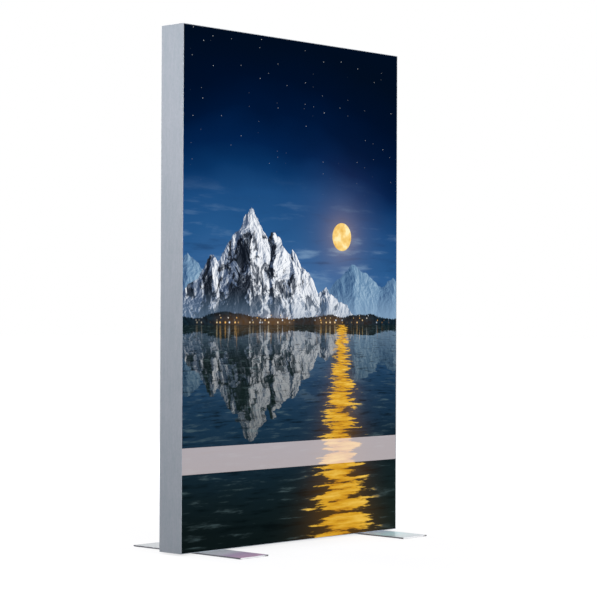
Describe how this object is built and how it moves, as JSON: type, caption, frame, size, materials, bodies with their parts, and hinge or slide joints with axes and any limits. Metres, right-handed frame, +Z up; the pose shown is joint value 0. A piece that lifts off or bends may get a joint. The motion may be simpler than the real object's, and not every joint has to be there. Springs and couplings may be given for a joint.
{
  "type": "lightbox display wall",
  "caption": "Free-standing double-sided fabric lightbox: deep aluminium frame, printed fabric on both faces, LED bars inside, flat swivelling steel feet.",
  "frame": {"origin": "on the floor under the middle of the frame's footprint", "axes": "+Z up, +X to the right of someone facing the front fabric, -Y towards that person, so the front fabric faces -Y"},
  "size_m": [1.25, 0.59, 2.0066],
  "materials": {
    "anodised_aluminium": "satin anodised",
    "printed_fabric": "matt dye-printed knitted polyester",
    "silicone": "satin",
    "foot_steel": "satin silver",
    "rubber": "matt",
    "zinc_plated_steel": "bright zinc",
    "led_board": "white solder mask",
    "lens_acrylic": "clear",
    "driver_case": "satin",
    "white_plastic": "matt",
    "black_plastic": "fine grain",
    "switch_plastic": "satin",
    "cable_sheath": "matt",
    "plated_brass": "nickel plated"
  },
  "bodies": {
    "frame": {"left_upright": "anodised_aluminium", "right_upright": "anodised_aluminium", "top_rail": "anodised_aluminium", "bottom_rail": "anodised_aluminium", "corner_bracket_bottom_left_front": "zinc_plated_steel", "corner_bracket_bottom_left_rear": "zinc_plated_steel", "corner_bracket_bottom_right_front": "zinc_plated_steel", "corner_bracket_bottom_right_rear": "zinc_plated_steel", "corner_bracket_top_left_front": "zinc_plated_steel", "corner_bracket_top_left_rear": "zinc_plated_steel", "corner_bracket_top_right_front": "zinc_plated_steel", "corner_bracket_top_right_rear": "zinc_plated_steel", "set_screw_bottom_left_front": "zinc_plated_steel", "set_screw_bottom_left_rear": "zinc_plated_steel", "set_screw_bottom_right_front": "zinc_plated_steel", "set_screw_bottom_right_rear": "zinc_plated_steel", "set_screw_top_left_front": "zinc_plated_steel", "set_screw_top_left_rear": "zinc_plated_steel", "set_screw_top_right_front": "zinc_plated_steel", "set_screw_top_right_rear": "zinc_plated_steel", "left_foot_bolt": "zinc_plated_steel", "left_foot_nut_plate": "zinc_plated_steel", "right_foot_bolt": "zinc_plated_steel", "right_foot_nut_plate": "zinc_plated_steel", "led_board_left_lower": "led_board", "led_board_left_upper": "led_board", "led_board_right_lower": "led_board", "led_board_right_upper": "led_board", "led_lenses_left_lower": "lens_acrylic", "led_lenses_left_upper": "lens_acrylic", "led_lenses_right_lower": "lens_acrylic", "led_lenses_right_upper": "lens_acrylic", "crossbar": "anodised_aluminium", "crossbar_socket_left": "white_plastic", "crossbar_socket_right": "white_plastic", "led_driver": "driver_case", "driver_screw_left": "zinc_plated_steel", "driver_screw_right": "zinc_plated_steel", "mains_inlet": "black_plastic", "inlet_pin_line": "plated_brass", "inlet_pin_neutral": "plated_brass", "inlet_pin_earth": "plated_brass", "inlet_screw_upper": "zinc_plated_steel", "inlet_screw_lower": "zinc_plated_steel", "led_lead_left": "cable_sheath", "led_lead_right": "cable_sheath", "mains_lead": "cable_sheath", "led_lead_clip": "black_plastic", "mains_lead_clip": "black_plastic"},
    "front_graphic": {"front_fabric": "printed_fabric", "front_silicone_edge": "silicone"},
    "rear_graphic": {"rear_fabric": "printed_fabric", "rear_silicone_edge": "silicone"},
    "left_foot": {"left_foot_plate": "foot_steel", "left_foot_pad_front": "rubber", "left_foot_pad_rear": "rubber"},
    "right_foot": {"right_foot_plate": "foot_steel", "right_foot_pad_front": "rubber", "right_foot_pad_rear": "rubber"},
    "switch": {"switch_rocker": "switch_plastic"}
  },
  "joints": [
    {"name": "left_foot_swivel", "type": "hinge", "parent": "frame", "child": "left_foot", "pos_m": [-0.47, 0, 0.0038], "axis": [0, 0, 1], "continuous": true},
    {"name": "right_foot_swivel", "type": "hinge", "parent": "frame", "child": "right_foot", "pos_m": [0.47, 0, 0.0038], "axis": [0, 0, 1], "continuous": true},
    {"name": "front_graphic_pull", "type": "slide", "parent": "frame", "child": "front_graphic", "axis": [0, -1, 0], "range_m": [0, 0.03]},
    {"name": "rear_graphic_pull", "type": "slide", "parent": "frame", "child": "rear_graphic", "axis": [0, 1, 0], "range_m": [0, 0.03]},
    {"name": "switch_rock", "type": "hinge", "parent": "frame", "child": "switch", "pos_m": [0.6207, 0, 0.0981], "axis": [0, -1, 0], "range_deg": [0, 20]}
  ]
}
